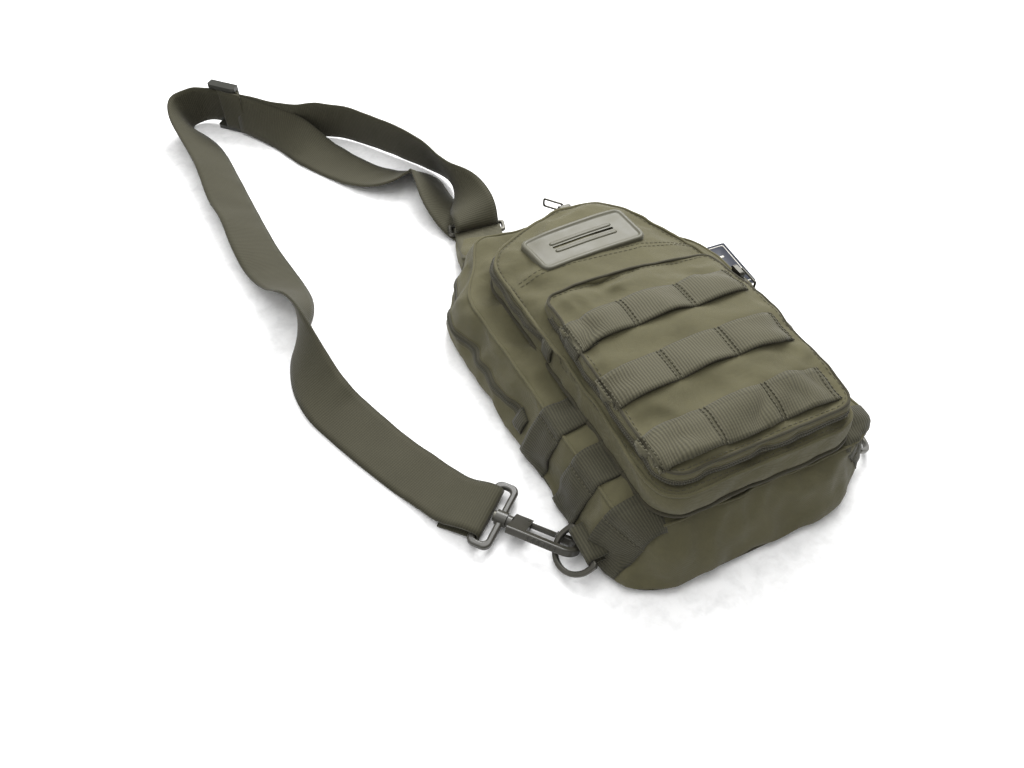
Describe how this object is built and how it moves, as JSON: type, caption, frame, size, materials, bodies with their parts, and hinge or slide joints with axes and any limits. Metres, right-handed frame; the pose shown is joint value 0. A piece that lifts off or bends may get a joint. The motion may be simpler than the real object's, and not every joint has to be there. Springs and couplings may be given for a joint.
{
  "type": "one-strap sling bag",
  "caption": "Soft one-strap sling bag with stacked zipped compartments, webbing rows, swivel hook and D-rings, and a long adjustable shoulder strap.",
  "frame": {"origin": "centre of the back panel, on its outer face, on which the bag lies", "axes": "+X to the right of the bag as seen from the front, +Y towards the neck and strap, +Z from the back panel out to the front pocket"},
  "size_m": [0.3906, 0.618, 0.087],
  "materials": {
    "fabric": "coated polyester, matte",
    "webbing": "ribbed polyester webbing",
    "zip_tape": "woven zip tape",
    "zip_coil": "nylon coil",
    "zip_metal": "dark painted metal",
    "plastic": "dark grey-green acetal, satin",
    "metal": "dark plated wire",
    "foam": "closed-cell foam",
    "rubber": "moulded soft rubber, matte",
    "card": "coated card",
    "lining": "thin nylon lining"
  },
  "bodies": {
    "bag": {"back_binding": "lining", "back_foam": "foam", "back_lining": "lining", "back_panel": "fabric", "front_gusset": "fabric", "front_panel": "fabric", "front_zip_coil": "zip_coil", "front_zip_tab_left": "webbing", "front_zip_tab_right": "webbing", "front_zip_tape": "zip_tape", "main_front_panel": "fabric", "main_gusset": "fabric", "main_zip_coil": "zip_coil", "main_zip_tab_left": "webbing", "main_zip_tab_right": "webbing", "main_zip_tape": "zip_tape", "neck_panel": "fabric", "neck_webbing": "webbing", "pocket_divider": "lining", "pocket_face": "fabric", "pocket_gusset": "fabric", "pocket_side_webbing": "webbing", "pocket_zip_coil": "zip_coil", "pocket_zip_tape": "zip_tape", "ring_tab_left": "webbing", "ring_tab_right": "webbing", "rubber_patch": "rubber", "side_webbing_left": "webbing", "side_webbing_right": "webbing", "strap_edge_run": "webbing", "strap_floor_run": "webbing", "strap_hook_fold": "webbing", "strap_return_edge": "webbing", "strap_return_flat": "webbing", "strap_ring_fold": "webbing", "strap_top_run": "webbing", "strap_turn_run": "webbing", "swivel_loop": "plastic", "webbing_row_1": "webbing", "webbing_row_2": "webbing", "webbing_row_3": "webbing"},
    "main_slider_1": {"main_slider_1": "zip_metal"},
    "main_pull_1": {"main_pull_1": "zip_metal"},
    "main_slider_2": {"main_slider_2": "zip_metal"},
    "main_pull_2": {"main_pull_2": "zip_metal"},
    "front_slider": {"front_slider": "zip_metal"},
    "front_pull": {"front_pull": "zip_metal"},
    "pocket_slider": {"pocket_slider": "zip_metal"},
    "pocket_pull": {"pocket_pull": "zip_metal"},
    "hook": {"hook_body": "plastic", "gate_pin": "metal", "gate_spring": "metal", "swivel_pin": "metal"},
    "gate": {"hook_gate": "plastic"},
    "d_ring_left": {"d_ring_left": "metal"},
    "d_ring_right": {"d_ring_right": "metal"},
    "tri_glide": {"tri_glide": "plastic", "strap_end_fold": "webbing"},
    "neck_ring": {"neck_ring": "metal"},
    "swing_tag": {"swing_tag": "card"}
  },
  "joints": [
    {"name": "main_slider_1_slide", "type": "slide", "parent": "bag", "child": "main_slider_1", "axis": [0.0537, 0.9986, 0], "range_m": [0, 0.03]},
    {"name": "main_pull_1_flip", "type": "hinge", "parent": "main_slider_1", "child": "main_pull_1", "pos_m": [0.11055, 0.03272, 0.02031], "axis": [-0.1305, 0.007, -0.9914], "range_deg": [0, 165]},
    {"name": "main_slider_2_slide", "type": "slide", "parent": "bag", "child": "main_slider_2", "axis": [-0.0537, -0.9986, 0], "range_m": [0, 0.012]},
    {"name": "main_pull_2_flip", "type": "hinge", "parent": "main_slider_2", "child": "main_pull_2", "pos_m": [0.10991, 0.02072, 0.02031], "axis": [0.1308, -0.007, 0.9914], "range_deg": [0, 165]},
    {"name": "front_slider_travel", "type": "hinge", "parent": "bag", "child": "front_slider", "pos_m": [0.008, 0.027, 0.062], "axis": [0, 0, 1], "range_deg": [-25, 25]},
    {"name": "front_pull_flip", "type": "hinge", "parent": "front_slider", "child": "front_pull", "pos_m": [0.008, 0.1323, 0.062], "axis": [0, 0, -1], "range_deg": [-50, 115]},
    {"name": "pocket_slider_slide", "type": "slide", "parent": "bag", "child": "pocket_slider", "axis": [0, -1, 0], "range_m": [0, 0.09]},
    {"name": "pocket_pull_flip", "type": "hinge", "parent": "pocket_slider", "child": "pocket_pull", "pos_m": [0.0813, 0.006, 0.075], "axis": [0, 0, 1], "range_deg": [0, 165]},
    {"name": "hook_swivel", "type": "hinge", "parent": "bag", "child": "hook", "pos_m": [-0.1315, -0.069, 0.0072], "axis": [0.6508, -0.7593, 0], "range_deg": [-2, 3]},
    {"name": "gate_open", "type": "hinge", "parent": "hook", "child": "gate", "pos_m": [-0.12104, -0.07321, 0.00382], "axis": [-0.4135, -0.3544, -0.8387], "range_deg": [0, 20], "stiffness_Nm_per_rad": 0.02, "springref_deg": -34.38},
    {"name": "d_ring_left_swing", "type": "hinge", "parent": "bag", "child": "d_ring_left", "pos_m": [-0.09793, -0.108, 0.015], "axis": [0, 1, 0], "range_deg": [-2, 1]},
    {"name": "d_ring_right_swing", "type": "hinge", "parent": "bag", "child": "d_ring_right", "pos_m": [0.10192, -0.108, 0.015], "axis": [0, -1, 0], "range_deg": [0, 100]},
    {"name": "tri_glide_slide", "type": "slide", "parent": "bag", "child": "tri_glide", "axis": [0.7071, -0.7071, 0], "range_m": [-0.005, 0.005]},
    {"name": "neck_ring_tilt", "type": "hinge", "parent": "bag", "child": "neck_ring", "pos_m": [-0.03798, 0.19294, 0.007], "axis": [0.9659, -0.2588, 0], "range_deg": [-3, 3]},
    {"name": "swing_tag_turn", "type": "hinge", "parent": "bag", "child": "swing_tag", "pos_m": [0.1095, 0.052, 0.0007], "axis": [0, 0, 1], "range_deg": [-20, 0]}
  ]
}
